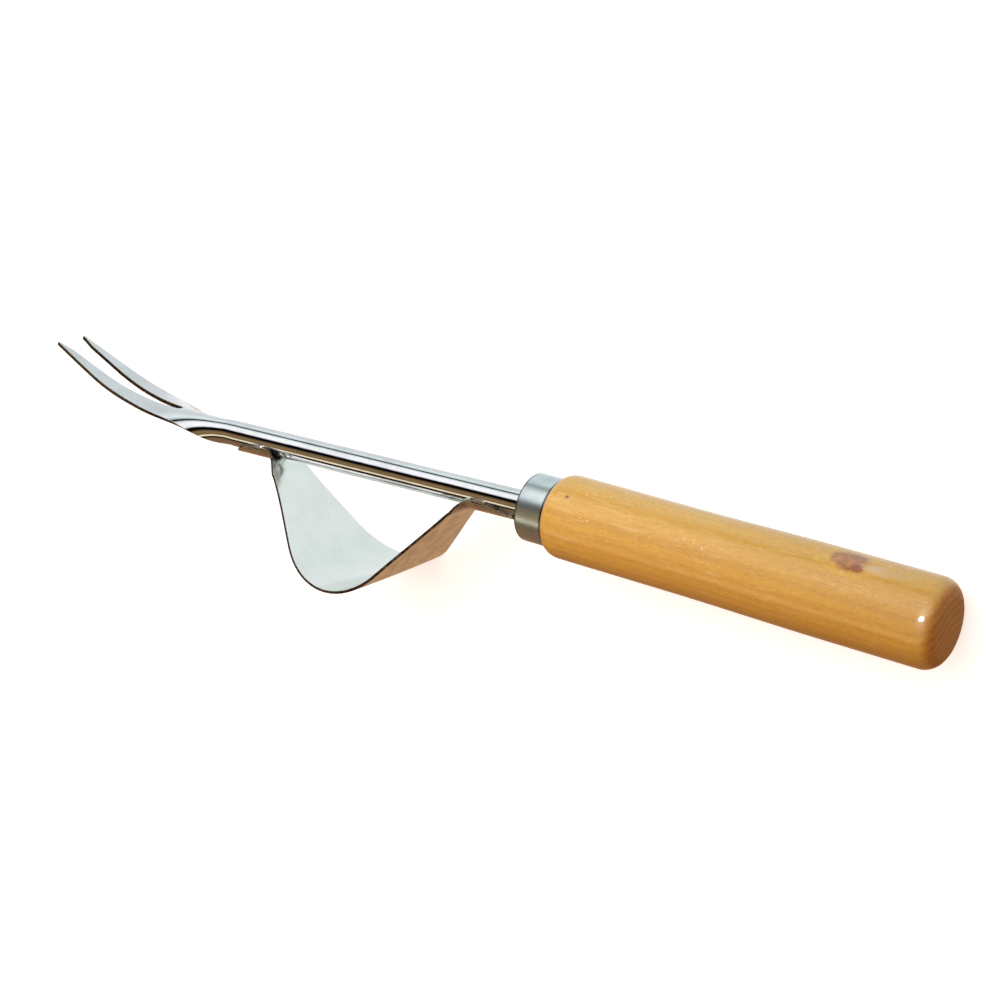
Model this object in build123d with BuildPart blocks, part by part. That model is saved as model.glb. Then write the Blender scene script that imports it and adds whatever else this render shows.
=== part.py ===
"""Hand weeding fork: a rolled sheet shank with two tines, a fulcrum strap, a ferrule and a wooden handle.

Millimetres. +X runs along the handle and out of its butt, -X points at the tines,
+Z is the side that the tines curve up to, and the strap hangs towards -Z.
The origin is the centre of the butt's flat end, on the handle's axis.
"""

from build123d import *
import os
from math import cos, pi, radians, sin

# ---------------------------------------------------------------- driving dimensions
handle_length = 129.0           # shoulder to butt
handle_radius = 13.0            # behind the front shoulder
waist_radius = 12.95            # slimmest place, a third of the way back
grip_end_radius = 13.4          # straight stretch before the butt
grip_end_length = 36.0
butt_rounding = 5.3
shoulder_radius = 10.9          # where the wood meets the ferrule
shoulder_rounding = 4.0

ferrule_length = 10.0
ferrule_radius = 10.65
ferrule_wall = 1.05
ferrule_lip_rounding = 0.4
spigot_recess = 0.8             # wood stops this far inside the ferrule's front rim

shank_radius = 4.27
shank_sheet = 1.4
shank_droop = 2.19              # degrees below the handle's axis
seam_gap = 0.5                  # open seam under the rolled shank
tang_length = 58.0              # inside the ferrule and the handle
bore_spare = 1.5                # bore beyond the tang's end
adhesive_length = 22.0
fit_gap = 0.02                  # between the tang and its bore

# The dimensions from here to strap_rear_end are distances ahead of the ferrule's front rim.
neck_start = 118.0              # the tube starts to open
tine_bend_start = 142.0
notch_root = 145.4
notch_flare = 190.5             # the tines' inner edges turn out to the tips
notch_mouth = 199.0
strap_front_end = 117.0
strap_front_bend = 99.0
strap_bottom = 64.5
strap_rear_bend = 24.9
strap_rear_end = 5.0

tine_bend_radius = 87.0
tine_bend_angle = 23.7          # degrees
tine_straight = 20.3
notch_root_radius = 1.2
notch_slope = 0.07              # half of the gap's growth along the tines
notch_mouth_half_width = 6.6

strap_sheet = 1.0
saddle_gap = 0.07               # between the saddles and the shank
strap_corner_depth = 49.8       # where the two legs would meet, below the shank's axis
strap_front_radius = 11.0
strap_bottom_radius = 23.5
strap_rear_radius = 6.0
strap_middle_half_width = 22.9
strap_end_half_width = 6.6      # across a saddle, measured round the shank
strap_leaf_reach = 61.0         # along the strap, from its middle to where the saddles are narrowest
strap_wrap_start = 47.5         # along the strap, from its middle to where the wings start to close
strap_wrap_length = 8.0
strap_flattest_turn = 0.02       # radians, in the legs
strap_front_tip = 8.0           # length of the rounded end of each saddle
strap_rear_tip = 12.0
strap_tip_drop = 0.9            # where the rounded end starts and finishes, below the shank's axis
strap_tip_depth = 4.4
strap_tip_bulge = 0.5           # how far the rounded end stands out over a straight cut
strap_stations = 61

weld_radius = 0.95
weld_length = 4.0
weld_end_rounding = 0.75
front_weld_ahead = 106.5
rear_weld_ahead = 17.0

# ---------------------------------------------------------------- shared placement
ferrule_front = -(handle_length + ferrule_length)
along = Vector(-cos(radians(shank_droop)), 0, -sin(radians(shank_droop)))
raised = Vector(-sin(radians(shank_droop)), 0, cos(radians(shank_droop)))
side = Vector(0, 1, 0)

# The side plane holds the shank's profile: x ahead of the ferrule, y above the shank's axis.
side_plane = Plane(origin=(ferrule_front, 0, 0), x_dir=along, z_dir=side)


def across(point, forward):
    """A plane square to a path that runs forward: its x is the object's +Y, its y is up."""
    return Plane(origin=point, x_dir=side, z_dir=-forward)


def bent_strip(plane, half_width, turn, thickness):
    """Section through a sheet, its middle at the plane's origin and both wings turned down.

    turn is the angle from the middle to a wing's edge, in radians. A negative turn
    bends the wings up.
    """
    bend = half_width / abs(turn)
    way = -1 if turn > 0 else 1
    spread = abs(turn)
    outer = bend + thickness / 2
    inner = bend - thickness / 2
    with BuildSketch(plane) as strip:
        with BuildLine():
            rim = ThreePointArc(
                (-outer * sin(spread), way * (bend - outer * cos(spread))),
                (0, -way * thickness / 2),
                (outer * sin(spread), way * (bend - outer * cos(spread))),
            )
            hollow = ThreePointArc(
                (inner * sin(spread), way * (bend - inner * cos(spread))),
                (0, way * thickness / 2),
                (-inner * sin(spread), way * (bend - inner * cos(spread))),
            )
            Line(rim @ 1, hollow @ 0)
            Line(hollow @ 1, rim @ 0)
        make_face()
    return strip.sketch


# ---------------------------------------------------------------- fork_shank
# One sheet: rolled into a tube with its seam underneath, opened at the neck,
# flattened into the blade and cut into two tines.
tube_middle_radius = shank_radius - shank_sheet / 2
tube_turn = pi - seam_gap / 2 / tube_middle_radius
tube_half_width = tube_middle_radius * tube_turn
blade_length = tine_bend_start + radians(tine_bend_angle) * tine_bend_radius + tine_straight

# The sheet's middle line from the start of the neck to the tips.
with BuildLine(side_plane) as crown:
    level = Line((neck_start, tube_middle_radius), (tine_bend_start, tube_middle_radius))
    rise = JernArc(start=level @ 1, tangent=(1, 0), radius=tine_bend_radius, arc_size=tine_bend_angle)
    Line(rise @ 1, rise @ 1 + (rise % 1) * tine_straight)
crown_path = crown.wire()

# Distance along the sheet, half width, turn of the wings in radians, dip of the crown.
neck_stations = [
    (neck_start, tube_half_width, tube_turn, 0.0),
    (121, 10.3, 2.96, 0.05),
    (125, 9.35, 2.60, 0.25),
    (129, 8.5, 2.10, 0.4),
    (134, 7.95, 1.4, 0.35),
    (140, 8.0, 0.75, 0.15),
    (146, 8.6, 0.38, 0.0),
    (154, 9.05, 0.18, 0.0),
    (162, 9.05, 0.08, 0.0),
    (170, 8.9, 0.05, 0.0),
    (177, 8.5, 0.05, 0.0),
    (184, 7.9, 0.05, 0.0),
    (191, 7.2, 0.05, 0.0),
    (blade_length, 6.4, 0.05, 0.0),
]


def notch_half_width(ahead):
    """Half of the gap between the tines."""
    return notch_root_radius + notch_slope * (ahead - notch_root)


def neck_section(ahead, half_width, turn, dip):
    """Section of the neck or blade, at a distance along the sheet ahead of the ferrule."""
    spot = crown_path.position_at(ahead - neck_start, position_mode=PositionMode.LENGTH)
    forward = crown_path.tangent_at(ahead - neck_start, position_mode=PositionMode.LENGTH)
    return bent_strip(across(spot - raised * dip, forward), half_width, turn, shank_sheet)


tang_end = across(side_plane.origin + raised * tube_middle_radius - along * tang_length, along)
with BuildPart() as fork_shank:
    extrude(bent_strip(tang_end, tube_half_width, tube_turn, shank_sheet), amount=-(tang_length + neck_start))
    loft(sections=[neck_section(*station) for station in neck_stations])
    # The gap between the tines, flared at its mouth so that each tine ends in a point.
    with BuildSketch(Plane.XY) as notch:
        with BuildLine():
            root = ferrule_front - notch_root
            curve = ThreePointArc(
                (root, -notch_root_radius),
                (root + notch_root_radius, 0),
                (root, notch_root_radius),
            )
            Polyline(
                curve @ 1,
                (ferrule_front - notch_flare, notch_half_width(notch_flare)),
                (ferrule_front - notch_mouth, notch_mouth_half_width),
                (ferrule_front - notch_mouth, -notch_mouth_half_width),
                (ferrule_front - notch_flare, -notch_half_width(notch_flare)),
                curve @ 0,
            )
        make_face()
    extrude(amount=blade_length, both=True, mode=Mode.SUBTRACT)
fork_shank.part.label = "fork_shank"

# ---------------------------------------------------------------- fulcrum_strap
# A leaf-shaped strip bent into a deep bow. Its narrow ends are saddles that wrap the shank.
saddle_bend = shank_radius + saddle_gap + strap_sheet / 2
with BuildLine(side_plane) as bow:
    FilletPolyline(
        (strap_front_end, -saddle_bend),
        (strap_front_bend, -saddle_bend),
        (strap_bottom, -strap_corner_depth),
        (strap_rear_bend, -saddle_bend),
        (strap_rear_end, -saddle_bend),
        radius=[strap_front_radius, strap_bottom_radius, strap_rear_radius],
    )
bow_path = bow.wire()
bow_half = bow_path.length / 2


def smooth(value):
    """0 to 1 with a level start and end."""
    value = min(max(value, 0.0), 1.0)
    return value * value * (3 - 2 * value)


def strap_half_width(offset):
    """Half the leaf's width at an offset from its middle."""
    leaf = (1 + cos(pi * min(abs(offset) / strap_leaf_reach, 1))) / 2
    return strap_end_half_width + (strap_middle_half_width - strap_end_half_width) * leaf


def strap_turn(offset):
    """Turn of the wings: they wrap the shank at the ends and lie flat in the legs."""
    wrap = smooth((abs(offset) - strap_wrap_start) / strap_wrap_length)
    return max(strap_half_width(offset) * wrap / saddle_bend, strap_flattest_turn)


def strap_section(share):
    """Section of the strap at a share of its length, 0 at the front end and 1 at the rear."""
    offset = (share - 0.5) * 2 * bow_half
    plane = across(bow_path @ share, -(bow_path % share))
    return bent_strip(plane, strap_half_width(offset), -strap_turn(offset), strap_sheet)


def tip_trim(end, tip_length):
    """Side view of what is cut off the wings to round an end; a negative length points to the rear."""
    start = end - tip_length
    past = end + tip_length
    middle_depth = (strap_tip_drop + strap_tip_depth) / 2 - strap_tip_bulge
    with BuildSketch(side_plane) as trim:
        with BuildLine():
            curve = ThreePointArc(
                (start, -strap_tip_drop),
                (end - tip_length / 2, -middle_depth),
                (end, -strap_tip_depth),
            )
            Polyline(
                curve @ 1,
                (past, -strap_tip_depth),
                (past, shank_radius),
                (start, shank_radius),
                curve @ 0,
            )
        make_face()
    return trim.sketch


with BuildPart() as fulcrum_strap:
    loft(sections=[strap_section(station / (strap_stations - 1)) for station in range(strap_stations)])
    for tip in (tip_trim(strap_front_end, strap_front_tip), tip_trim(strap_rear_end, -strap_rear_tip)):
        extrude(tip, amount=strap_end_half_width, both=True, mode=Mode.SUBTRACT)
fulcrum_strap.part.label = "fulcrum_strap"

# ---------------------------------------------------------------- handle
bore_depth = tang_length + bore_spare
bore_bottom = across(side_plane.origin - along * bore_depth, along)
shoulder_x = ferrule_front + ferrule_length
spigot_radius = ferrule_radius - ferrule_wall
with BuildPart() as handle:
    with BuildSketch(Plane.XZ):
        with BuildLine():
            Polyline(
                (0, 0),
                (ferrule_front + spigot_recess, 0),
                (ferrule_front + spigot_recess, spigot_radius),
                (shoulder_x, spigot_radius),
                (shoulder_x, shoulder_radius),
            )
            EllipticalCenterArc(
                center=(shoulder_x + shoulder_rounding, shoulder_radius),
                x_radius=shoulder_rounding,
                y_radius=handle_radius - shoulder_radius,
                start_angle=90,
                arc_size=90,
            )
            grip = Spline(
                (shoulder_x + shoulder_rounding, handle_radius),
                (shoulder_x + handle_length / 3, waist_radius),
                (-grip_end_length, grip_end_radius),
                tangents=[(1, 0), (1, 0)],
            )
            grip_end = Line(grip @ 1, (-butt_rounding, grip_end_radius))
            round_butt = JernArc(start=grip_end @ 1, tangent=(1, 0), radius=butt_rounding, arc_size=-90)
            Line(round_butt @ 1, (0, 0))
        make_face()
    revolve(axis=Axis.X)
    with BuildSketch(bore_bottom):
        Circle(shank_radius + fit_gap)
    extrude(amount=-(bore_depth + ferrule_length), mode=Mode.SUBTRACT)
handle.part.label = "handle"

# ---------------------------------------------------------------- ferrule
with BuildPart() as ferrule:
    with BuildSketch(Plane.YZ.offset(ferrule_front)):
        Circle(ferrule_radius)
        Circle(spigot_radius, mode=Mode.SUBTRACT)
    extrude(amount=ferrule_length)
    front_edges = ferrule.edges().filter_by(GeomType.CIRCLE).group_by(Axis.X)[0]
    fillet(front_edges, radius=ferrule_lip_rounding)
ferrule.part.label = "ferrule"

# ---------------------------------------------------------------- tang_adhesive
# Glue that fills the end of the hollow tang and the bottom of the bore.
with BuildPart() as tang_adhesive:
    with BuildSketch(bore_bottom):
        Circle(shank_radius - shank_sheet - fit_gap)
    extrude(amount=-adhesive_length)
tang_adhesive.part.label = "tang_adhesive"


# ---------------------------------------------------------------- welds
def weld_pair(ahead, label):
    """Two short beads where a saddle's wings end on the shank, one each side."""
    wing = strap_end_half_width / saddle_bend
    with BuildPart() as beads:
        for way in (-1, 1):
            seat = side_plane.origin + along * (ahead - weld_length / 2)
            seat += side * (way * shank_radius * sin(wing)) - raised * (shank_radius * cos(wing))
            with BuildSketch(across(seat, along)):
                Circle(weld_radius)
            extrude(amount=-weld_length)
        fillet(beads.edges().filter_by(GeomType.CIRCLE), radius=weld_end_rounding)
        add(fork_shank.part, mode=Mode.SUBTRACT)
        add(fulcrum_strap.part, mode=Mode.SUBTRACT)
    beads.part.label = label
    return beads


front_welds = weld_pair(front_weld_ahead, "front_welds")
rear_welds = weld_pair(rear_weld_ahead, "rear_welds")

# ---------------------------------------------------------------- files
os.makedirs("parts", exist_ok=True)
for piece in (fork_shank, fulcrum_strap, handle, ferrule, tang_adhesive, front_welds, rear_welds):
    export_step(piece.part, "parts/" + piece.part.label + ".step")
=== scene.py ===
"""Looks of the hand weeding fork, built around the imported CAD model. Metres, in the CAD frame.

+X runs along the handle and out of its butt, -X points at the tines, +Z is the side
that the tines curve up to, and the fulcrum strap hangs towards -Z.
"""

from math import acos, atan2, cos, pi, radians, sin, sqrt, tan

import bpy
from mathutils import Matrix, Vector


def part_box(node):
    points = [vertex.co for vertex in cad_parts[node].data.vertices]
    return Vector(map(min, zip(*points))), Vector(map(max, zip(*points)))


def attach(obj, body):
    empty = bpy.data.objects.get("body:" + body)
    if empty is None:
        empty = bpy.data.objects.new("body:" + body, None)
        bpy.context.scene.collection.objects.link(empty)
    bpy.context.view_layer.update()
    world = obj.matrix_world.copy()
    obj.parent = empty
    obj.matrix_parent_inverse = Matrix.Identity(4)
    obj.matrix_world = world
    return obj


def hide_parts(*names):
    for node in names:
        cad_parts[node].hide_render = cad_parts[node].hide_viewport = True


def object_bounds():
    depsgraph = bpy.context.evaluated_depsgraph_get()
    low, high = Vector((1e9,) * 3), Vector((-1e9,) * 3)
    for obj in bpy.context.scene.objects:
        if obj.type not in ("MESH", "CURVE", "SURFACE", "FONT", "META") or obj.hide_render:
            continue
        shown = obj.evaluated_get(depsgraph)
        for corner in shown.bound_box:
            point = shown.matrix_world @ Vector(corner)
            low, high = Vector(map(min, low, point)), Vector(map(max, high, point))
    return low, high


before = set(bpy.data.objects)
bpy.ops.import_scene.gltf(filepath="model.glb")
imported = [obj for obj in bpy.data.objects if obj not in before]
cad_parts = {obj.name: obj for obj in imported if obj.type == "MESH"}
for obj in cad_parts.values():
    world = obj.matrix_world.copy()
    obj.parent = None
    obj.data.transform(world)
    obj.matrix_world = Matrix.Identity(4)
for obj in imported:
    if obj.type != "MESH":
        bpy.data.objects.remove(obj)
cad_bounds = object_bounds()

mm = 0.001

# ---------------------------------------------------------------- sizes read from the frame
handle_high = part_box("handle")[1]
ferrule_low, ferrule_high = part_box("ferrule")
strap_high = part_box("fulcrum_strap")[1]
butt_x = handle_high.x
shoulder_x = ferrule_high.x
ferrule_front = ferrule_low.x
ferrule_radius = ferrule_high.y
grip_end_radius = handle_high.y
handle_length = butt_x - shoulder_x

# ---------------------------------------------------------------- driving dimensions
handle_radius = 13.0 * mm           # behind the front shoulder
waist_radius = 12.95 * mm           # slimmest place, a third of the way back
grip_end_length = 36.0 * mm
butt_rounding = 5.3 * mm
shoulder_radius = 10.9 * mm
shoulder_rounding = 4.0 * mm
ferrule_wall = 1.05 * mm
ferrule_lip = 0.4 * mm
spigot_recess = 0.8 * mm

shank_radius = 4.27 * mm
shank_droop = radians(2.19)
seam_gap = 0.5 * mm
tang_length = 58.0 * mm
bore_spare = 1.5 * mm
fit_gap = 0.02 * mm

shank_sheet = 1.4 * mm
strap_sheet = 1.0 * mm
rim = 0.22 * mm                     # rounding along the edges of a sheet
rim_steps = 4                       # steps in a quarter of that rounding
mitre_limit = 0.5                   # keeps the rim from reaching far out at a sharp corner

# Distances ahead of the ferrule's front rim.
neck_start = 118.0 * mm
tine_bend_start = 142.0 * mm
notch_root = 145.4 * mm
notch_flare = 190.5 * mm
notch_mouth = 199.0 * mm
strap_front_end = 117.0 * mm
strap_front_bend = 99.0 * mm
strap_bottom = 64.5 * mm
strap_rear_bend = 24.9 * mm
strap_rear_end = 5.0 * mm
front_weld_ahead = 106.5 * mm
rear_weld_ahead = 17.0 * mm

tine_bend_radius = 87.0 * mm
tine_bend_angle = radians(23.7)
tine_straight = 20.3 * mm
notch_root_radius = 1.2 * mm
notch_slope = 0.07
notch_mouth_half_width = 6.6 * mm

saddle_gap = 0.07 * mm
strap_corner_depth = 49.789 * mm
strap_front_radius = 11.0 * mm
strap_bottom_radius = 23.5 * mm
strap_rear_radius = 6.0 * mm
strap_middle_half_width = 22.9 * mm
strap_end_half_width = 6.6 * mm
strap_leaf_reach = 61.0 * mm
strap_wrap_start = 47.5 * mm
strap_wrap_length = 8.0 * mm
strap_flattest_turn = 0.02          # radians, in the legs
strap_front_tip = 8.0 * mm
strap_rear_tip = 12.0 * mm
strap_tip_drop = 0.9 * mm
strap_tip_depth = 4.4 * mm
strap_tip_slope = 0.43              # how much of a rounded end is a straight slope

weld_radius = 0.95 * mm
weld_length = 4.0 * mm
weld_standoff = 0.1 * mm            # from the shank's skin to a bead's own line

# ---------------------------------------------------------------- shared placement
along = Vector((-cos(shank_droop), 0, -sin(shank_droop)))    # forwards along the shank
raised = Vector((-sin(shank_droop), 0, cos(shank_droop)))    # square to the shank, upwards
side = Vector((0, 1, 0))


def side_point(ahead, height):
    """Point in the middle plane, by how far it is ahead of the ferrule and above the shank's axis."""
    return Vector((ferrule_front, 0, 0)) + along * ahead + raised * height


def smooth(value):
    """0 to 1 with a level start and end."""
    value = min(max(value, 0.0), 1.0)
    return value * value * (3 - 2 * value)


def spread(start, end, step):
    """Values from start to end, evenly spaced about a step apart, both ends included."""
    count = max(round(abs(end - start) / step), 1)
    return [start + (end - start) * k / count for k in range(count + 1)]


# ---------------------------------------------------------------- meshes
def new_piece(name, points, faces, normals=None):
    """A smooth-shaded mesh object from its points and faces."""
    mesh = bpy.data.meshes.new(name)
    mesh.from_pydata([tuple(point) for point in points], [], faces)
    mesh.validate()
    mesh.polygons.foreach_set("use_smooth", [True] * len(mesh.polygons))
    if normals:
        mesh.normals_split_custom_set_from_vertices([tuple(normal) for normal in normals])
    mesh.update()
    piece = bpy.data.objects.new(name, mesh)
    bpy.context.scene.collection.objects.link(piece)
    return piece


def rim_profile(thickness):
    """Round edge of a sheet from its outer face to its inner face: way out, height, tilt of the normal."""
    flat = thickness / 2 - rim
    tilts = [k * pi / 2 / rim_steps for k in range(rim_steps + 1)]
    upper = [(rim * sin(tilt), flat + rim * cos(tilt), tilt) for tilt in tilts]
    lower = [(out, -height, pi - tilt) for out, height, tilt in reversed(upper)]
    return upper + lower


def sheet_metal(name, thickness, points, normals, faces):
    """A closed solid of sheet metal from its middle surface, which stops a rim short of the real edges.

    The middle strips of the rim take the second material, the bare cut.
    """
    count = len(points)
    half = thickness / 2
    cut_strips = range(rim_steps // 2, 2 * rim_steps + 1 - rim_steps // 2)
    solid = [p + n * half for p, n in zip(points, normals)] + [p - n * half for p, n in zip(points, normals)]
    shading = list(normals) + [-n for n in normals]
    skins = list(faces) + [tuple(count + corner for corner in reversed(face)) for face in faces]

    edges = {(a, b) for face in faces for a, b in zip(face, face[1:] + face[:1])}
    after = {a: b for a, b in edges if (b, a) not in edges}
    before = {b: a for a, b in after.items()}
    profile = rim_profile(thickness)
    arc = {}
    for corner in after:
        ways = []
        for a, b in ((before[corner], corner), (corner, after[corner])):
            ways.append((points[b] - points[a]).cross(normals[corner]).normalized())
        way = (ways[0] + ways[1]).normalized()
        way = way / max(way.dot(ways[0]), mitre_limit)
        arc[corner] = [corner]
        for out, height, tilt in profile[1:-1]:
            arc[corner].append(len(solid))
            solid.append(points[corner] + way * out + normals[corner] * height)
            shading.append((way * sin(tilt) + normals[corner] * cos(tilt)).normalized())
        arc[corner].append(count + corner)
    slots = [0] * len(skins)
    for a, b in after.items():
        for k in range(len(profile) - 1):
            skins.append((arc[b][k], arc[a][k], arc[a][k + 1], arc[b][k + 1]))
            slots.append(1 if k in cut_strips else 0)
    piece = new_piece(name, solid, skins, shading)
    piece.data.polygons.foreach_set("material_index", slots)
    return piece


def bent(spot, heading, half_width, turn, across):
    """Point and normal of a bent sheet at a distance across from its middle.

    turn is the angle from the middle to a wing's edge. A positive one bends the wings
    down and the normal points up, a negative one the other way.
    """
    up = side.cross(heading)
    bend = half_width / abs(turn)
    way = 1 if turn > 0 else -1
    angle = across / bend
    point = spot + side * (bend * sin(angle)) - up * (way * bend * (1 - cos(angle)))
    return point, side * sin(angle) + up * (way * cos(angle))


# ---------------------------------------------------------------- fork_shank
tube_middle_radius = shank_radius - shank_sheet / 2
tube_turn = pi - seam_gap / 2 / tube_middle_radius
tube_half_width = tube_middle_radius * tube_turn
blade_length = tine_bend_start + tine_bend_angle * tine_bend_radius + tine_straight

# Distance along the sheet, half width, turn of the wings, dip of the crown.
neck_stations = [
    (neck_start, tube_half_width, tube_turn, 0.0),
    (121 * mm, 10.3 * mm, 2.96, 0.05 * mm),
    (125 * mm, 9.35 * mm, 2.60, 0.25 * mm),
    (129 * mm, 8.5 * mm, 2.10, 0.4 * mm),
    (134 * mm, 7.95 * mm, 1.4, 0.35 * mm),
    (140 * mm, 8.0 * mm, 0.75, 0.15 * mm),
    (146 * mm, 8.6 * mm, 0.38, 0.0),
    (154 * mm, 9.05 * mm, 0.18, 0.0),
    (162 * mm, 9.05 * mm, 0.08, 0.0),
    (170 * mm, 8.9 * mm, 0.05, 0.0),
    (177 * mm, 8.5 * mm, 0.05, 0.0),
    (184 * mm, 7.9 * mm, 0.05, 0.0),
    (191 * mm, 7.2 * mm, 0.05, 0.0),
    (blade_length, 6.4 * mm, 0.05, 0.0),
]


def level_slope(before, after):
    """Slope between two spans: level where they turn back, so that nothing overshoots."""
    return 2 * before * after / (before + after) if before * after > 0 else 0.0


def neck_values(distance):
    """Half width, turn and dip of the sheet at a distance along it."""
    stations = neck_stations
    distance = min(max(distance, stations[0][0]), stations[-1][0])
    last = len(stations) - 2
    span = next((k for k in range(last) if distance <= stations[k + 1][0]), last)
    length = stations[span + 1][0] - stations[span][0]
    share = (distance - stations[span][0]) / length
    values = []
    for column in (1, 2, 3):
        rises = [(b[column] - a[column]) / (b[0] - a[0]) for a, b in zip(stations, stations[1:])]
        leave = level_slope(rises[max(span - 1, 0)], rises[span]) * length
        arrive = level_slope(rises[span], rises[min(span + 1, last)]) * length
        start, end = stations[span][column], stations[span + 1][column]
        eased = start + (end - start) * smooth(share)
        eased += leave * share * (1 - share) ** 2 - arrive * (1 - share) * share ** 2
        values.append(eased)
    return values


def crown(distance):
    """Point and heading of the sheet's middle line, straight and then bent up into the tines."""
    bend = min(max((distance - tine_bend_start) / tine_bend_radius, 0.0), tine_bend_angle)
    heading = along * cos(bend) + raised * sin(bend)
    ahead = min(distance, tine_bend_start) + tine_bend_radius * sin(bend)
    height = tube_middle_radius + tine_bend_radius * (1 - cos(bend))
    past_bend = max(distance - tine_bend_start - tine_bend_angle * tine_bend_radius, 0.0)
    return side_point(ahead, height) + heading * past_bend, heading


def sheet_distance(ahead):
    """Distance along the sheet of a place seen from above, ahead of the ferrule."""
    corrections = 12
    distance = ahead
    for _ in range(corrections):
        distance += ahead - (ferrule_front - crown(distance)[0].x)
    return distance


def notch_inner(distance):
    """Half of the gap between the tines, with the rim added. It is 0 behind the gap's root."""
    ahead = ferrule_front - crown(distance)[0].x
    reach = notch_root_radius + rim
    if ahead < notch_root:
        return sqrt(max(reach ** 2 - (notch_root - ahead) ** 2, 0.0))
    gap = notch_root_radius + notch_slope * (min(ahead, notch_flare) - notch_root)
    flare = (ahead - notch_flare) / (notch_mouth - notch_flare)
    if flare > 0:
        gap += (notch_mouth_half_width - gap) * flare
    return gap + rim


def shank_distances():
    """Rows of the shank's mesh, dense where its shape changes fast, and the number of the gap's first row."""
    tube_step = 4 * mm
    neck_step = 1 * mm
    root_steps = 8
    tine_step = 1.5 * mm
    tip_step = 0.5 * mm
    tip_stretch = 3 * mm
    apex = sheet_distance(notch_root - notch_root_radius - rim)
    root = sheet_distance(notch_root)
    tip = blade_length - rim
    rows = spread(rim - tang_length, neck_start, tube_step)
    rows += spread(neck_start, apex, neck_step)[1:]
    first_open = len(rows)
    rows += [root - (root - apex) * cos(k * pi / 2 / root_steps) for k in range(1, root_steps + 1)]
    rows += spread(root, tip - tip_stretch, tine_step)[1:]
    rows += spread(tip - tip_stretch, tip, tip_step)[1:]
    return rows, first_open


def make_fork_shank():
    """Tube, neck, blade and both tines as one sheet.

    Each row has two halves. They share their middle point up to the gap between the tines.
    """
    columns = 36
    thinnest = 0.3 * mm             # what is left of a tine's width at its tip, between the rims
    rows, first_open = shank_distances()
    points, normals, grid = [], [], []
    for number, distance in enumerate(rows):
        half_width, turn, dip = neck_values(distance)
        spot, heading = crown(distance)
        spot = spot - raised * dip
        inner = notch_inner(distance) if number >= first_open else 0.0
        outer = half_width - rim
        inner = min(inner, outer - thinnest)
        halves = []
        for way in (-1, 1):
            half = []
            for column in range(columns + 1):
                if way == 1 and column == 0 and number < first_open:
                    half.append(halves[0][0])
                    continue
                across = way * (inner + (outer - inner) * column / columns)
                point, normal = bent(spot, heading, half_width, turn, across)
                half.append(len(points))
                points.append(point)
                normals.append(normal)
            halves.append(half)
        grid.append(halves)
    faces = []
    for near, far in zip(grid, grid[1:]):
        for half, way in ((0, -1), (1, 1)):
            for k in range(columns):
                face = (near[half][k], near[half][k + 1], far[half][k + 1], far[half][k])
                faces.append(face if way == 1 else tuple(reversed(face)))
    return sheet_metal("shank_and_tines", shank_sheet, points, normals, faces)


# ---------------------------------------------------------------- fulcrum_strap
saddle_bend = shank_radius + saddle_gap + strap_sheet / 2


def rounded_route(corners, radii):
    """Straight runs and arcs past side-view corners, as (start, heading, turning radius, length)."""
    pieces = []
    position = Vector(corners[0])
    for here, corner, beyond, radius in zip(corners, corners[1:], corners[2:], radii):
        into = (Vector(corner) - Vector(here)).normalized()
        out = (Vector(beyond) - Vector(corner)).normalized()
        turn = atan2(into.x * out.y - into.y * out.x, into.dot(out))
        cut = radius * tan(abs(turn) / 2)
        arc_start = Vector(corner) - into * cut
        pieces.append((position, into, 0.0, (arc_start - position).length))
        pieces.append((arc_start, into, radius if turn > 0 else -radius, radius * abs(turn)))
        position = Vector(corner) + out * cut
    pieces.append((position, out, 0.0, (Vector(corners[-1]) - position).length))
    return pieces


bow_route = rounded_route(
    [
        (strap_front_end, -saddle_bend),
        (strap_front_bend, -saddle_bend),
        (strap_bottom, -strap_corner_depth),
        (strap_rear_bend, -saddle_bend),
        (strap_rear_end, -saddle_bend),
    ],
    [strap_front_radius, strap_bottom_radius, strap_rear_radius],
)
bow_length = sum(piece[3] for piece in bow_route)


def bow(distance):
    """Point and backward heading of the strap's middle line, at a distance from its front end."""
    for start, heading, radius, length in bow_route:
        if distance <= length or (start, heading, radius, length) == bow_route[-1]:
            break
        distance -= length
    if radius:
        angle = distance / radius
        left = Vector((-heading.y, heading.x))
        place = start + heading * (radius * sin(angle)) + left * (radius * (1 - cos(angle)))
        heading = heading * cos(angle) + left * sin(angle)
    else:
        place = start + heading * distance
    return side_point(place.x, place.y), along * heading.x + raised * heading.y


def strap_half_width(offset):
    """Half the leaf's width at an offset from its middle."""
    leaf = (1 + cos(pi * min(abs(offset) / strap_leaf_reach, 1))) / 2
    return strap_end_half_width + (strap_middle_half_width - strap_end_half_width) * leaf


def strap_turn(offset):
    """Turn of the wings: they wrap the shank at the ends and lie flat in the legs."""
    wrap = smooth((abs(offset) - strap_wrap_start) / strap_wrap_length)
    return max(strap_half_width(offset) * wrap / saddle_bend, strap_flattest_turn)


def saddle_reach(distance):
    """How far the wings reach across near the strap's rounded ends, measured round the shank."""
    for tip, from_end in ((strap_front_tip, distance), (strap_rear_tip, bow_length - distance)):
        share = 1 - from_end / tip
        if share > 0:
            rise = share * (strap_tip_slope + (1 - strap_tip_slope) * share)
            depth = strap_tip_drop + (strap_tip_depth - strap_tip_drop) * rise
            return min(saddle_bend * acos(depth / saddle_bend), strap_end_half_width)
    return strap_half_width(distance - bow_length / 2)


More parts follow.
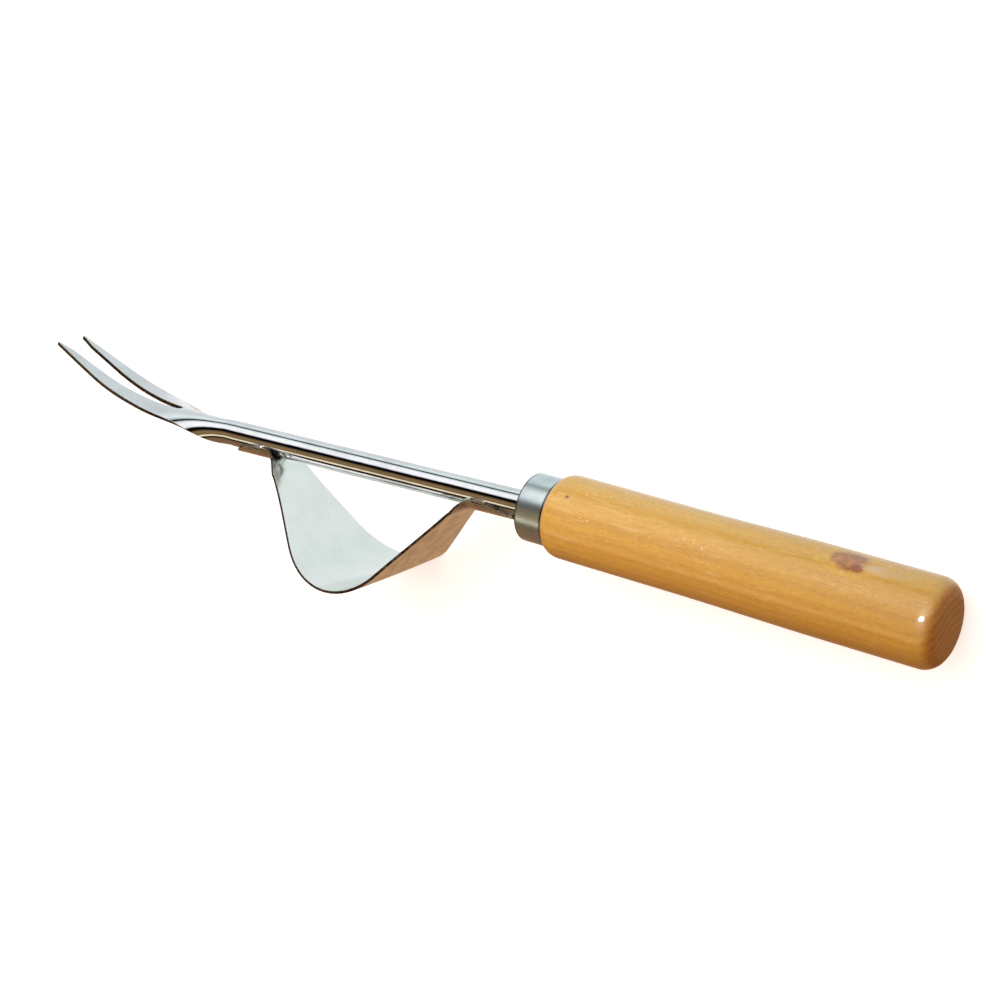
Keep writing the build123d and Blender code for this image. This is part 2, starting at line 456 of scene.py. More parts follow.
def make_fulcrum_strap():
    """Leaf-shaped strip bent into a bow, with both ends wrapped half round the shank."""
    columns = 48
    row_step = 0.9 * mm
    points, normals, faces = [], [], []
    rows = spread(rim, bow_length - rim, row_step)
    for number, distance in enumerate(rows):
        offset = distance - bow_length / 2
        spot, heading = bow(distance)
        reach = saddle_reach(distance) - rim
        for column in range(columns + 1):
            across = reach * (2 * column / columns - 1)
            point, normal = bent(spot, -heading, strap_half_width(offset), -strap_turn(offset), across)
            points.append(point)
            normals.append(normal)
        if number:
            row = number * (columns + 1)
            for k in range(row, row + columns):
                faces.append((k, k - columns - 1, k - columns, k + 1))
    return sheet_metal("bow_strap", strap_sheet, points, normals, faces)


# ---------------------------------------------------------------- turned pieces
segments = 160
sharpest_smooth = radians(35)       # edges that turn more than this are shaded sharp


def ring(x, radius):
    """A circle of points round the X axis."""
    turns = [2 * pi * k / segments for k in range(segments)]
    return [Vector((x, radius * cos(turn), radius * sin(turn))) for turn in turns]


def drooped_ring(distance, radius):
    """A circle of points round the shank's axis, square to it."""
    turns = [2 * pi * k / segments for k in range(segments)]
    return [side_point(distance, radius * sin(turn)) + side * (radius * cos(turn)) for turn in turns]


def turned(name, rings, closed=False):
    """A solid through rings of points.

    closed joins the last ring to the first. Without it both ends are filled.
    """
    points = [point for loop in rings for point in loop]
    pairs = [(k, k + 1) for k in range(len(rings) - 1)]
    if closed:
        pairs.append((len(rings) - 1, 0))
    faces = []
    for near, far in pairs:
        for k in range(segments):
            after = (k + 1) % segments
            corners = ((near, k), (near, after), (far, after), (far, k))
            faces.append(tuple(loop * segments + place for loop, place in corners))
    if not closed:
        faces.append(tuple(range(segments - 1, -1, -1)))
        last = (len(rings) - 1) * segments
        faces.append(tuple(range(last, last + segments)))
    piece = new_piece(name, points, faces)
    piece.data.set_sharp_from_angle(angle=sharpest_smooth)
    return piece


def arc_rings(center_x, center_radius, x_reach, radius_reach, first, last, steps):
    """Rings along an elliptical corner, from one angle to another, in degrees from +X towards +radius."""
    angles = [radians(angle) for angle in spread(first, last, abs(last - first) / steps)]
    return [ring(center_x + x_reach * cos(a), center_radius + radius_reach * sin(a)) for a in angles]


def grip_radius(x):
    """Radius of the grip: a slight waist, then a slightly fatter stretch before the butt."""
    waist_x = shoulder_x + handle_length / 3
    if x < waist_x:
        share = (x - shoulder_x - shoulder_rounding) / (waist_x - shoulder_x - shoulder_rounding)
        return handle_radius + (waist_radius - handle_radius) * smooth(share)
    share = (x - waist_x) / (butt_x - grip_end_length - waist_x)
    return waist_radius + (grip_end_radius - waist_radius) * smooth(share)


def make_handle():
    """The wooden handle: spigot, shoulder, grip and rounded butt, with the bore that holds the tang."""
    corner_steps = 10
    butt_steps = 14
    grip_step = 3 * mm
    end_face_shares = (0.8, 0.6, 0.4, 0.2, 0.08)
    spigot_radius = ferrule_radius - ferrule_wall
    bore_radius = shank_radius + fit_gap
    bore_bottom = -(tang_length + bore_spare)
    spigot_front = ferrule_front + spigot_recess
    mouth = []
    for point in drooped_ring(0.0, bore_radius):
        mouth.append(point - along * ((point.x - spigot_front) / along.x))
    rings = [drooped_ring(bore_bottom, bore_radius), mouth]
    rings += [ring(spigot_front, spigot_radius), ring(shoulder_x, spigot_radius)]
    shoulder_reach = handle_radius - shoulder_radius
    grip_start = shoulder_x + shoulder_rounding
    grip_stop = butt_x - butt_rounding
    rings += arc_rings(grip_start, shoulder_radius, shoulder_rounding, shoulder_reach, 180, 90, corner_steps)
    rings += [ring(x, grip_radius(x)) for x in spread(grip_start, grip_stop, grip_step)[1:]]
    round_center = grip_end_radius - butt_rounding
    rings += arc_rings(grip_stop, round_center, butt_rounding, butt_rounding, 90, 0, butt_steps)[1:]
    rings += [ring(butt_x, round_center * share) for share in end_face_shares]
    return turned("wooden_handle", rings)


def make_ferrule():
    """A short steel ring with rolled lips round the handle's spigot."""
    wall_step = 1 * mm
    lip_steps = 5
    rear_lip_steps = 3
    inner = ferrule_radius - ferrule_wall
    lip = ferrule_lip
    rear_lip = ferrule_lip / 2
    front_x = ferrule_front + lip
    rear_x = shoulder_x - rear_lip
    rings = [ring(x, ferrule_radius) for x in spread(rear_x, front_x, wall_step)]
    rings += arc_rings(front_x, ferrule_radius - lip, lip, lip, 90, 180, lip_steps)[1:]
    rings += arc_rings(front_x, inner + lip, lip, lip, 180, 270, lip_steps)
    rings += [ring(shoulder_x, inner)]
    rings += arc_rings(rear_x, ferrule_radius - rear_lip, rear_lip, rear_lip, 0, 90, rear_lip_steps)[:-1]
    return turned("steel_ferrule", rings[::-1], closed=True)


# ---------------------------------------------------------------- welds
def weld_bead(start, heading, outward, ripple_phase):
    """One bead of weld metal: a low oval worm with ripples, as rings round its own line."""
    around = 20
    steps = 28
    end_share = 0.004               # the bead stops this share of its length short of a point
    bluntness = 0.7
    ripple_turn = 9 * pi
    ripple_depth = 0.06
    uneven_turn = 5
    uneven_depth = 0.05
    sideways = heading.cross(outward)
    points, faces = [], []
    for step in range(steps + 1):
        share = min(max(step / steps, end_share), 1 - end_share)
        swell = sqrt(1 - (2 * share - 1) ** 2)
        ripple = 1 + ripple_depth * sin(share * ripple_turn + ripple_phase)
        size = weld_radius * swell ** bluntness * ripple
        center = start + heading * (weld_length * share)
        for k in range(around):
            turn = 2 * pi * k / around
            uneven = 1 + uneven_depth * sin(2 * turn + ripple_phase + uneven_turn * share)
            points.append(center + (outward * sin(turn) + sideways * cos(turn)) * (size * uneven))
    for step in range(steps):
        for k in range(around):
            after = (k + 1) % around
            near, far = step * around, (step + 1) * around
            faces.append((near + k, far + k, far + after, near + after))
    faces.append(tuple(range(around)))
    faces.append(tuple(range(steps * around + around - 1, steps * around - 1, -1)))
    return points, faces


def make_welds(name, ahead):
    """Two beads where a saddle's wings end on the shank, one each side."""
    wing = strap_end_half_width / saddle_bend
    points, faces = [], []
    for way in (-1, 1):
        outward = side * (way * sin(wing)) - raised * cos(wing)
        start = side_point(ahead - weld_length / 2, 0) + outward * (shank_radius + weld_standoff)
        ripple_phase = 1.3 * way + ahead * 100      # differs from bead to bead
        bead_points, bead_faces = weld_bead(start, along, outward, ripple_phase)
        faces += [tuple(len(points) + corner for corner in face) for face in bead_faces]
        points += bead_points
    return new_piece(name, points, faces)


# ---------------------------------------------------------------- shader nodes
class Graph:
    """Adds shader nodes to a tree. An input is a number, a colour or another node's output."""

    def __init__(self, tree):
        self.tree = tree

    def node(self, kind, inputs=None, **settings):
        made = self.tree.nodes.new(kind)
        for key, value in settings.items():
            setattr(made, key, value)
        for key, value in (inputs or {}).items():
            self.feed(made.inputs[key], value)
        return made

    def feed(self, socket, value):
        if isinstance(value, bpy.types.NodeSocket):
            self.tree.links.new(value, socket)
        else:
            socket.default_value = value

    def place(self, scale=(1, 1, 1), location=(0, 0, 0)):
        """The object's own coordinates, scaled and shifted."""
        coordinates = self.node("ShaderNodeTexCoord").outputs["Object"]
        inputs = {"Vector": coordinates, "Scale": scale, "Location": location}
        return self.node("ShaderNodeMapping", inputs).outputs[0]

    def drawn_out(self, share):
        """The object's own coordinates, squeezed along X so that patterns come out long and thin."""
        return self.place(scale=(share, 1, 1))

    def noise(self, vector, scale, detail, roughness=0.5):
        inputs = {"Vector": vector, "Scale": scale, "Detail": detail, "Roughness": roughness}
        return self.node("ShaderNodeTexNoise", inputs).outputs[0]

    def math(self, operation, first, second, third=0.0):
        return self.node("ShaderNodeMath", {0: first, 1: second, 2: third}, operation=operation).outputs[0]

    def limits(self, value, low, high, to_low=0.0, to_high=1.0):
        """Value mapped from low..high to to_low..to_high, held at both ends, with an even start and stop."""
        inputs = {"Value": value, "From Min": low, "From Max": high, "To Min": to_low, "To Max": to_high}
        return self.node("ShaderNodeMapRange", inputs, interpolation_type="SMOOTHSTEP").outputs[0]

    def mix(self, factor, first, second, blend="MIX"):
        made = self.node("ShaderNodeMix", data_type="RGBA", blend_type=blend)
        for socket, value in ((made.inputs[0], factor), (made.inputs[6], first), (made.inputs[7], second)):
            self.feed(socket, value)
        return made.outputs[2]

    def stain(self, colour, mask, strength, over):
        """A colour with another laid over it where a mask says so."""
        return self.mix(self.math("MULTIPLY", mask, strength), colour, over)

    def ramp(self, value, stops):
        """A colour ramp; stops are (position, colour)."""
        made = self.node("ShaderNodeValToRGB", {0: value})
        elements = made.color_ramp.elements
        while len(elements) < len(stops):
            elements.new(0.5)
        for element, (position, colour) in zip(elements, stops):
            element.position = position
            element.color = colour
        return made.outputs[0]

    def bump(self, height, depth, normal=None):
        """Relief of a height pattern, this deep, on top of an earlier relief."""
        inputs = {"Height": height, "Strength": 1.0, "Distance": depth}
        if normal is not None:
            inputs["Normal"] = normal
        return self.node("ShaderNodeBump", inputs).outputs[0]

    def facing(self):
        """The X, Y and Z of the surface's own direction."""
        normal = self.node("ShaderNodeNewGeometry").outputs["Normal"]
        return self.node("ShaderNodeSeparateXYZ", {0: normal}).outputs

    def along_x(self):
        """Position along the handle's axis."""
        return self.node("ShaderNodeSeparateXYZ", {0: self.place()}).outputs[0]

    def within(self, spot):
        """0 at a spot's centre and 1 on the ellipsoid of its reach."""
        center, reach = spot
        scale = tuple(1 / size for size in reach)
        location = tuple(-place / size for place, size in zip(center, reach))
        vector = self.place(scale=scale, location=location)
        return self.node("ShaderNodeVectorMath", {0: vector}, operation="LENGTH").outputs["Value"]


def linear(red, green, blue):
    """A shader colour from the 0 to 255 values that a screen shows."""
    channels = []
    for value in (red, green, blue):
        value = value / 255
        channels.append(value / 12.92 if value <= 0.04045 else ((value + 0.055) / 1.055) ** 2.4)
    return (*channels, 1.0)


def new_material(name):
    """A node material, its graph and its main shader."""
    material = bpy.data.materials.new(name)
    material.use_nodes = True
    return material, Graph(material.node_tree), material.node_tree.nodes["Principled BSDF"]


# ---------------------------------------------------------------- metal materials
plate_speck = linear(120, 118, 112)
plate_scuff = linear(176, 172, 166)
cut_dark = linear(60, 52, 44)
cut_light = linear(112, 94, 76)
ferrule_light = linear(218, 228, 228)
ferrule_cloud = linear(192, 204, 208)
turning_mark = linear(130, 138, 148)
# Painted shade for the ferrule's two rims.
rim_shade = linear(38, 38, 38)
weld_grey = linear(176, 178, 180)
weld_heat = linear(140, 124, 104)
resin_clear = linear(196, 146, 74)
resin_deep = linear(150, 100, 40)


def plated_steel(name, tint, cloud_shade, base_roughness, rough_spread, wave_depth, streak_depth, scuff=0.0):
    """Bright plating over sheet steel: soft waves, dents, fine streaks along the piece and small dull spots.

    scuff is how much of the surface is dulled in patches where it faces down.
    """
    material, graph, shader = new_material(name)
    clouds = graph.noise(graph.place(), scale=90, detail=4, roughness=0.6)
    streaks = graph.noise(graph.drawn_out(0.08), scale=2200, detail=3, roughness=0.7)
    specks = graph.limits(graph.noise(graph.place(), scale=1400, detail=1), 0.66, 0.74)
    scuffs = graph.noise(graph.place(), scale=200, detail=3, roughness=0.6)
    underside = graph.limits(graph.facing()[2], 0.1, -0.3)

    darker = tuple(channel * cloud_shade for channel in tint[:3]) + (1.0,)
    colour = graph.mix(graph.limits(clouds, 0.35, 0.7), tint, darker)
    colour = graph.stain(colour, specks, 0.2, plate_speck)
    colour = graph.stain(colour, underside, graph.limits(scuffs, 0.38, 0.62, 0.0, scuff), plate_scuff)
    graph.feed(shader.inputs["Base Color"], colour)

    roughness = graph.limits(clouds, 0.3, 0.75, base_roughness, base_roughness + rough_spread)
    roughness = graph.math("ADD", roughness, graph.math("MULTIPLY", specks, 0.12))
    roughness = graph.math("ADD", roughness, graph.math("MULTIPLY", streaks, rough_spread / 2))
    graph.feed(shader.inputs["Roughness"], roughness)

    waves = graph.noise(graph.drawn_out(0.35), scale=170, detail=1.5)
    dents = graph.noise(graph.drawn_out(0.4), scale=480, detail=1)
    normal = graph.bump(waves, wave_depth)
    normal = graph.bump(dents, wave_depth / 3, normal)
    normal = graph.bump(streaks, streak_depth, normal)
    graph.feed(shader.inputs["Normal"], normal)
    shader.inputs["Metallic"].default_value = 1.0
    return material


def bare_cut_steel():
    """The sheared edges of the sheets: dark, brownish and a little rough."""
    material, graph, shader = new_material("sheared_edge")
    grain = graph.noise(graph.place(), scale=900, detail=3, roughness=0.6)
    graph.feed(shader.inputs["Base Color"], graph.mix(graph.limits(grain, 0.35, 0.65), cut_dark, cut_light))
    graph.feed(shader.inputs["Roughness"], graph.limits(grain, 0.3, 0.7, 0.25, 0.4))
    shader.inputs["Metallic"].default_value = 1.0
    return material


def ferrule_steel():
    """Satin steel with fine turning marks round the ferrule, soft clouds, and painted shade at both rims."""
    material, graph, shader = new_material("satin_ferrule")
    marks = graph.noise(graph.place(scale=(1, 0.02, 0.02)), scale=5200, detail=2, roughness=0.7)
    clouds = graph.noise(graph.place(), scale=140, detail=4, roughness=0.6)
    colour = graph.mix(graph.limits(clouds, 0.3, 0.75), ferrule_light, ferrule_cloud)
    colour = graph.mix(graph.limits(marks, 0.62, 0.8), colour, turning_mark)
    x = graph.along_x()
    # Painted shade: dark bands at the front lip and where the ferrule meets the wood, standing in for shadow
    # and the wood's dark reflection.
    rear = graph.limits(x, shoulder_x - 1.3 * mm, shoulder_x - 0.7 * mm)
    front = graph.limits(x, ferrule_front + 0.8 * mm, ferrule_front + 0.4 * mm)
    colour = graph.stain(colour, graph.math("MAXIMUM", rear, front), 0.85, rim_shade)
    graph.feed(shader.inputs["Base Color"], colour)
    graph.feed(shader.inputs["Roughness"], graph.limits(clouds, 0.25, 0.8, 0.28, 0.36))
    graph.feed(shader.inputs["Normal"], graph.bump(marks, 0.006 * mm))
    shader.inputs["Metallic"].default_value = 1.0
    return material


def weld_steel():
    """Weld metal: duller, with heat colours and a grainy surface."""
    material, graph, shader = new_material("weld_metal")
    grain = graph.noise(graph.place(), scale=1500, detail=3, roughness=0.6)
    heat = graph.noise(graph.place(), scale=500, detail=1)
    graph.feed(shader.inputs["Base Color"], graph.mix(graph.limits(heat, 0.35, 0.65), weld_grey, weld_heat))
    graph.feed(shader.inputs["Roughness"], graph.limits(grain, 0.3, 0.7, 0.28, 0.5))
    graph.feed(shader.inputs["Normal"], graph.bump(grain, 0.05 * mm))
    shader.inputs["Metallic"].default_value = 0.9
    return material


def resin():
    """Amber glue at the bottom of the bore."""
    material, graph, shader = new_material("amber_resin")
    clouds = graph.noise(graph.place(), scale=300, detail=3)
    colour = graph.mix(graph.limits(clouds, 0.3, 0.7), resin_deep, resin_clear)
    graph.feed(shader.inputs["Base Color"], colour)
    graph.feed(shader.inputs["Roughness"], graph.limits(clouds, 0.3, 0.7, 0.3, 0.5))
    return material


# ---------------------------------------------------------------- wood material
wood_pale = linear(236, 188, 84)
wood_warm = linear(222, 168, 68)
band_brown = linear(196, 142, 74)
mottle_brown = linear(190, 132, 62)
fibre_brown = linear(190, 126, 60)
fleck_brown = linear(160, 98, 44)
streak_pale = linear(238, 200, 136)
# Painted highlight colour for the glints on the pits.
pit_glint = linear(255, 232, 170)
eye_light = linear(190, 130, 78)
eye_dark = linear(160, 98, 60)
heart_red = linear(150, 74, 46)
patch_mauve = linear(226, 194, 170)
trail_grey = linear(206, 178, 130)
speck_brown = linear(112, 70, 36)
end_light = linear(186, 124, 56)
end_dark = linear(150, 96, 40)
end_band = linear(140, 88, 38)
# Painted shade towards the butt, multiplied over the wood.
butt_painted_shade = (0.82, 0.78, 0.66, 1)

# Spots in the wood: their centres, and their reach along X, Y and Z.
knot_spot = ((-30.2 * mm, -3.9 * mm, 12.5 * mm), (5.4 * mm, 4.4 * mm, 3.6 * mm))
heart_spot = ((-26.8 * mm, -6.4 * mm, 11.5 * mm), (2.6 * mm, 1.9 * mm, 2.2 * mm))
patch_spot = ((-21.6 * mm, -5.2 * mm, 12.2 * mm), (4.4 * mm, 2.3 * mm, 3.0 * mm))
trail_spot = ((-16.5 * mm, -4.8 * mm, 12.2 * mm), (7.5 * mm, 1.6 * mm, 3.0 * mm))
speck_spot = ((-121.7 * mm, -8.9 * mm, 9.6 * mm), (0.7 * mm, 0.5 * mm, 0.6 * mm))

# The tree's pith lies outside the handle, nearly along it. Its distance comes out in metres.
pith_line = ((0.0, 9.0 * mm, -26.0 * mm), (60.0, 1.0, 1.0))
band_spacing = 2.6 * mm
band_wander = 5 * mm
band_push = 1.3 * mm                # how far the bands are pushed aside at the knot


def varnished_beech():
    """Clear-varnished beech: faint growth bands, short dark flecks, fine fibre, a knot and end grain."""
    material, graph, shader = new_material("varnished_beech")
    knot = graph.within(knot_spot)

    # Growth bands are shells round the pith, pushed aside round the knot.
    wander = graph.noise(graph.drawn_out(0.12), scale=55, detail=2)
    push = graph.limits(knot, 0.6, 2.6, band_push, 0.0)
    shells = graph.math("ADD", graph.within(pith_line), graph.math("MULTIPLY", wander, band_wander))
    shells = graph.math("ADD", shells, push)
    wave = graph.math("SINE", graph.math("MULTIPLY", shells, 2 * pi / band_spacing), 0.0)
    bands = graph.limits(wave, -0.4, 1.0)
    broad = graph.noise(graph.drawn_out(0.1), scale=70, detail=3, roughness=0.6)
    colour = graph.ramp(broad, [(0.3, wood_pale), (0.7, wood_warm)])
    colour = graph.stain(colour, bands, 0.22, band_brown)

    # Fine mottle and fibre, and the short dark flecks and pale streaks of beech.
    mottle = graph.noise(graph.drawn_out(0.3), scale=1900, detail=3, roughness=0.7)
    colour = graph.mix(graph.limits(mottle, 0.35, 0.65, 0.0, 0.28), colour, mottle_brown)
    fibre = graph.noise(graph.drawn_out(0.03), scale=2600, detail=3, roughness=0.65)
    colour = graph.mix(graph.limits(fibre, 0.45, 0.8, 0.0, 0.4), colour, fibre_brown)
    flecks = graph.limits(graph.noise(graph.drawn_out(0.16), scale=2800, detail=0.5), 0.66, 0.76)
    colour = graph.stain(colour, flecks, 0.3, fleck_brown)
    streaks = graph.noise(graph.place(scale=(0.1, 1, 1), location=(3, 1, 2)), scale=900, detail=1)
    colour = graph.mix(graph.limits(streaks, 0.6, 0.75, 0.0, 0.35), colour, streak_pale)

    # Small pits in loose groups: dented in the relief, and painted pale as painted highlights (glints).
    pits_and_glints = graph.limits(graph.noise(graph.drawn_out(0.7), scale=1300, detail=1), 0.68, 0.74)
    groups = graph.limits(graph.noise(graph.drawn_out(0.5), scale=110, detail=1), 0.48, 0.62)
    pits_and_glints = graph.math("MULTIPLY", pits_and_glints, groups)
    colour = graph.stain(colour, pits_and_glints, 0.6, pit_glint)

    # The knot: a ragged eye, its reddish heart, a mauve patch beside it and a grey trail towards the butt.
    ragged = graph.noise(graph.place(), scale=330, detail=3, roughness=0.6)
    stains = graph.noise(graph.drawn_out(0.6), scale=620, detail=2)
    eye = graph.math("ADD", knot, graph.math("MULTIPLY", ragged, 0.7))
    eye_colour = graph.mix(graph.limits(stains, 0.38, 0.62), eye_light, eye_dark)
    colour = graph.mix(graph.limits(eye, 1.6, 1.05, 0.0, 0.9), colour, eye_colour)
    heart = graph.math("ADD", graph.within(heart_spot), graph.math("MULTIPLY", ragged, 0.8))
    colour = graph.mix(graph.limits(heart, 1.5, 0.9, 0.0, 0.85), colour, heart_red)
    patch = graph.math("ADD", graph.within(patch_spot), graph.math("MULTIPLY", stains, 1.8))
    colour = graph.mix(graph.limits(patch, 2.1, 1.1, 0.0, 0.7), colour, patch_mauve)
    trail = graph.within(trail_spot)
    colour = graph.mix(graph.limits(trail, 1.3, 0.5, 0.0, 0.4), colour, trail_grey)

    # Painted shade: the wood is darker towards the butt, standing in for light falling off there. It also has
    # a dark speck near the ferrule.
    to_butt = graph.limits(graph.along_x(), shoulder_x, butt_x)
    colour = graph.mix(to_butt, colour, butt_painted_shade, blend="MULTIPLY")
    speck = graph.within(speck_spot)
    colour = graph.mix(graph.limits(speck, 1.2, 0.6, 0.0, 0.8), colour, speck_brown)

    # End grain at the butt drinks more varnish and is darker.
    end_grain = graph.math("ADD", graph.facing()[0], graph.math("MULTIPLY", ragged, 0.16))
    end_grain = graph.limits(end_grain, 0.5, 1.05)
    pores = graph.noise(graph.place(), scale=2400, detail=2)
    end_colour = graph.mix(graph.limits(pores, 0.4, 0.7), end_light, end_dark)
    end_colour = graph.stain(end_colour, bands, 0.4, end_band)
    colour = graph.mix(end_grain, colour, end_colour)
    graph.feed(shader.inputs["Base Color"], colour)

    # Varnish: a clear coat over wood that is slightly raised by its fibre, with a few pits.
    relief = graph.math("SUBTRACT", graph.math("MULTIPLY", fibre, 0.25), pits_and_glints)
    graph.feed(shader.inputs["Normal"], graph.bump(relief, 0.02 * mm))
    coat_waves = graph.noise(graph.drawn_out(0.3), scale=260, detail=2)
    graph.feed(shader.inputs["Coat Normal"], graph.bump(coat_waves, 0.008 * mm))
    graph.feed(shader.inputs["Roughness"], graph.limits(broad, 0.3, 0.7, 0.42, 0.55))
    graph.feed(shader.inputs["Coat Weight"], graph.limits(end_grain, 0.0, 1.0, 0.8, 0.05))
    graph.feed(shader.inputs["Specular IOR Level"], graph.limits(end_grain, 0.0, 1.0, 0.4, 0.1))
    shader.inputs["Coat Roughness"].default_value = 0.08
    return material


# ---------------------------------------------------------------- the pieces
def finish_piece(piece, materials, node):
    """Gives a piece its materials and body, and lets it stand for a CAD node."""
    for material in materials:
        piece.data.materials.append(material)
    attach(piece, "root")
    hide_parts(node)


bright_plate = plated_steel(
    "bright_plate", linear(226, 227, 230), cloud_shade=0.88, base_roughness=0.03, rough_spread=0.04,
    wave_depth=0.06 * mm, streak_depth=0.0006 * mm,
)
soft_plate = plated_steel(
    "soft_plate", linear(243, 246, 242), cloud_shade=0.95, base_roughness=0.15, rough_spread=0.05,
    wave_depth=0.012 * mm, streak_depth=0.001 * mm, scuff=0.5,
)
cut_steel = bare_cut_steel()
weld_metal = weld_steel()

finish_piece(make_fork_shank(), [bright_plate, cut_steel], "fork_shank")
finish_piece(make_fulcrum_strap(), [soft_plate, cut_steel], "fulcrum_strap")
finish_piece(make_handle(), [varnished_beech()], "handle")
finish_piece(make_ferrule(), [ferrule_steel()], "ferrule")
finish_piece(make_welds("front_weld_beads", front_weld_ahead), [weld_metal], "front_welds")
finish_piece(make_welds("rear_weld_beads", rear_weld_ahead), [weld_metal], "rear_welds")

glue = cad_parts["tang_adhesive"]
glue.data.materials.clear()
glue.data.materials.append(resin())

# ---------------------------------------------------------------- camera
# The camera looks at the middle plane from the butt's side and from above.
camera_azimuth = radians(33.827)
camera_elevation = radians(18.305)
camera_roll = radians(4.385)
camera_distance = 739.5 * mm
camera_target = Vector((ferrule_front - 12.28 * mm, 0, -1.11 * mm))
camera_lens = 86.3                  # millimetres, as Blender counts it
camera_sensor = 36.0                # millimetres
camera_clip_end = 50.0              # metres, past the floor's far corner

back = Vector((
    sin(camera_azimuth) * cos(camera_elevation),
    -cos(camera_azimuth) * cos(camera_elevation),
    sin(camera_elevation),
))
camera_place = camera_target + back * camera_distance


def make_camera():
    level_right = Vector((cos(camera_azimuth), sin(camera_azimuth), 0))
    level_up = back.cross(level_right)
    right = level_right * cos(camera_roll) + level_up * sin(camera_roll)
    up = level_up * cos(camera_roll) - level_right * sin(camera_roll)
    data = bpy.data.cameras.new("camera")
    data.lens = camera_lens
    data.sensor_width = camera_sensor
    data.clip_end = camera_clip_end
    camera = bpy.data.objects.new("camera", data)
    turned_axes = Matrix((right, up, back)).transposed().to_4x4()
    camera.matrix_world = Matrix.Translation(camera_place) @ turned_axes
    bpy.context.scene.collection.objects.link(camera)
    bpy.context.scene.camera = camera


make_camera()

# ---------------------------------------------------------------- floor
# The tool lies on its side, on the strap's far edge and the butt, so the floor is behind it in the CAD frame.
strap_middle_x = side_point(strap_bottom, 0).x
rest_run = butt_x - butt_rounding - strap_middle_x
rest_slope = atan2(strap_high.y - grip_end_radius, rest_run)
floor_normal = Vector((-sin(rest_slope), -cos(rest_slope), 0))
floor_side = 6.0
floor_gap = 0.2 * mm
floor_grey = 0.9
floor_glow = 0.52                   # keeps the shadows faint


def make_floor():
    """A wide plain plane, nearly white, that can be seen through from behind."""
    middle = Vector((strap_middle_x, strap_high.y, 0)) - floor_normal * floor_gap
    upright = Vector((0, 0, 1))
    lengthwise = floor_normal.cross(upright)
    corners = []
    for x_way, z_way in ((-1, -1), (-1, 1), (1, 1), (1, -1)):
        corners.append(middle + (lengthwise * x_way + upright * z_way) * (floor_side / 2))
    floor = new_piece("floor", corners, [(0, 1, 2, 3)])
    material, graph, shader = new_material("pale_floor")
    shader.inputs["Base Color"].default_value = (floor_grey, floor_grey, floor_grey, 1)
    shader.inputs["Roughness"].default_value = 0.9
    shader.inputs["Specular IOR Level"].default_value = 0.0
    shader.inputs["Emission Color"].default_value = (1, 1, 1, 1)
    shader.inputs["Emission Strength"].default_value = floor_glow
    see_through = graph.node("ShaderNodeBsdfTransparent").outputs[0]
    behind = graph.node("ShaderNodeNewGeometry").outputs["Backfacing"]
    mixed = graph.node("ShaderNodeMixShader", {0: behind, 1: shader.outputs[0], 2: see_through})
    graph.feed(material.node_tree.nodes["Material Output"].inputs[0], mixed.outputs[0])
    floor.data.materials.append(material)
    floor.visible_glossy = False
    floor.visible_diffuse = False


make_floor()

# ---------------------------------------------------------------- light
# Light panels of the studio, by their angle about the X axis: 0 is the front, 90 overhead, 180 the back.
panels = [
    (-180, (236, 234, 234)),
    (-168, (214, 206, 198)),
    (-156, (170, 140, 112)),
    (-140, (172, 132, 97)),
    (-110, (128, 96, 70)),
    (-59, (118, 92, 66)),
    (-55, (14, 11, 8)),
    (-45, (14, 11, 8)),
    (-41, (180, 166, 136)),
    (-36, (255, 244, 214)),
    (-31, (255, 240, 206)),
    (-27, (126, 98, 62)),
    (-4, (132, 110, 78)),
    (7, (84, 66, 46)),
    (13, (4, 4, 4)),
    (31, (4, 4, 4)),
    (36, (214, 216, 220)),
    (44, (255, 255, 255)),
    (68, (255, 255, 255)),
    (80, (206, 216, 213)),
    (84, (150, 160, 156)),
    (86, (10, 14, 12)),
    (93, (10, 14, 12)),
    (96, (178, 190, 188)),
    (110, (232, 241, 241)),
    (132, (204, 213, 213)),
    (158, (216, 220, 222)),
    (180, (236, 234, 234)),
]
studio_strength = 1.25

# Softboxes for matt surfaces: in front (-1) or behind (1), the cosine where the light fades out, its level.
softboxes = [(-1, -0.45, 1.0), (1, 0.1, 0.9)]
softbox_height = radians(32)
softbox_least = 0.03                # level everywhere else
light_below = linear(255, 184, 124)
light_above = linear(244, 252, 255)


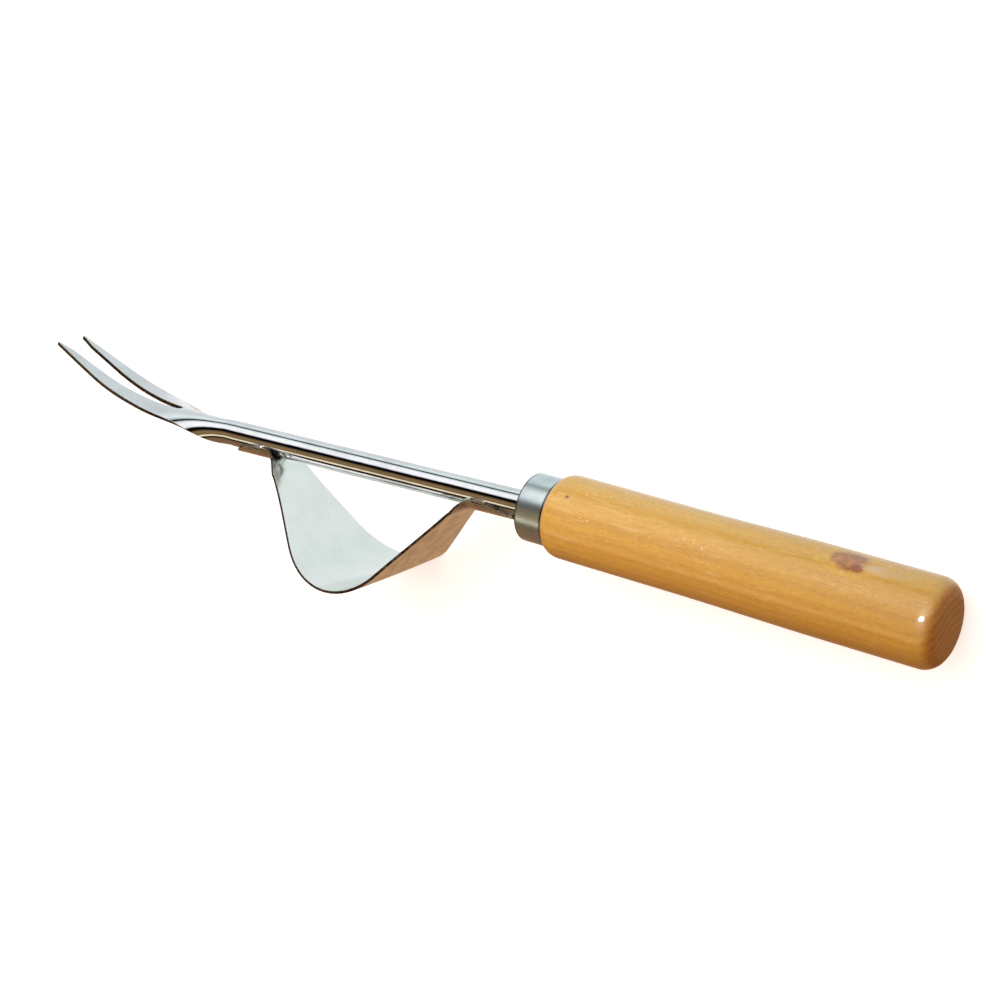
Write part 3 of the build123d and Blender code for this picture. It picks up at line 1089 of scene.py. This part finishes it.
def make_world():
    """The studio round the object: panels for reflections, softboxes for matt light, white to the camera."""
    world = bpy.data.worlds.new("studio")
    world.use_nodes = True
    graph = Graph(world.node_tree)
    background = world.node_tree.nodes["Background"]
    direction = graph.node("ShaderNodeTexCoord").outputs["Generated"]
    way = graph.node("ShaderNodeSeparateXYZ", {0: direction}).outputs
    turn = graph.math("ARCTAN2", way[2], graph.math("MULTIPLY", way[1], -1.0))
    share = graph.math("MULTIPLY_ADD", turn, 1 / (2 * pi), 0.5)
    bands = graph.ramp(share, [((angle + 180) / 360, linear(*colour)) for angle, colour in panels])

    levels = []
    for way_out, reach, strength in softboxes:
        toward = (0, way_out * cos(softbox_height), sin(softbox_height))
        facing = graph.node("ShaderNodeVectorMath", {0: direction, 1: toward}, operation="DOT_PRODUCT")
        levels.append(graph.limits(facing.outputs["Value"], reach, 1.0, softbox_least, strength))
    level = graph.math("MAXIMUM", levels[0], levels[1])
    tint = graph.mix(graph.limits(way[2], -0.7, 0.7), light_below, light_above)
    softbox = graph.mix(1.0, tint, level, blend="MULTIPLY")
    path = graph.node("ShaderNodeLightPath").outputs
    light = graph.mix(path["Is Diffuse Ray"], bands, softbox)
    graph.feed(background.inputs["Color"], graph.mix(path["Is Camera Ray"], light, (1, 1, 1, 1)))
    background.inputs["Strength"].default_value = studio_strength
    bpy.context.scene.world = world


key_size = 1.2
key_power = 5.0
key_offset = Vector((-0.35, -1.25, 0.75))
glint_turn = radians(21)            # of the butt's rounded edge, from its side towards its end
glint_height = radians(22)          # round the handle, from its front upwards
glint_distance = 0.5
glint_width = 0.28
glint_depth = 0.1
glint_power = 4.0


def area_light(name, shape, size, power, location, target):
    """A flat lamp that faces its target."""
    data = bpy.data.lights.new(name, "AREA")
    data.shape = shape
    data.size = size
    data.energy = power
    light = bpy.data.objects.new(name, data)
    light.location = location
    light.rotation_euler = (target - location).to_track_quat("-Z", "Y").to_euler()
    bpy.context.scene.collection.objects.link(light)
    return light


def make_lights():
    """A soft key light from above and a small lamp that leaves a round glint on the butt's edge."""
    low, high = (Vector(corner) for corner in cad_bounds)
    middle = (low + high) / 2
    key = area_light("key", "DISK", key_size, key_power, middle + key_offset, middle)
    key.visible_glossy = False

    # The lamp stands where the coat mirrors it to the camera from one place on the rounded edge.
    around = Vector((0, -cos(glint_height), sin(glint_height)))
    outward = Vector((sin(glint_turn), 0, 0)) + around * cos(glint_turn)
    core = Vector((butt_x - butt_rounding, 0, 0)) + around * (grip_end_radius - butt_rounding)
    glint = core + outward * butt_rounding
    to_camera = (camera_place - glint).normalized()
    mirrored = outward * (2 * to_camera.dot(outward)) - to_camera
    place = glint + mirrored * glint_distance
    lamp = area_light("glint", "ELLIPSE", glint_width, glint_power, place, glint)
    lamp.data.size_y = glint_depth
    lamp.visible_diffuse = False


make_world()
make_lights()
bpy.context.scene.view_settings.view_transform = "Standard"

# ---------------------------------------------------------------- update
bpy.context.view_layer.update()
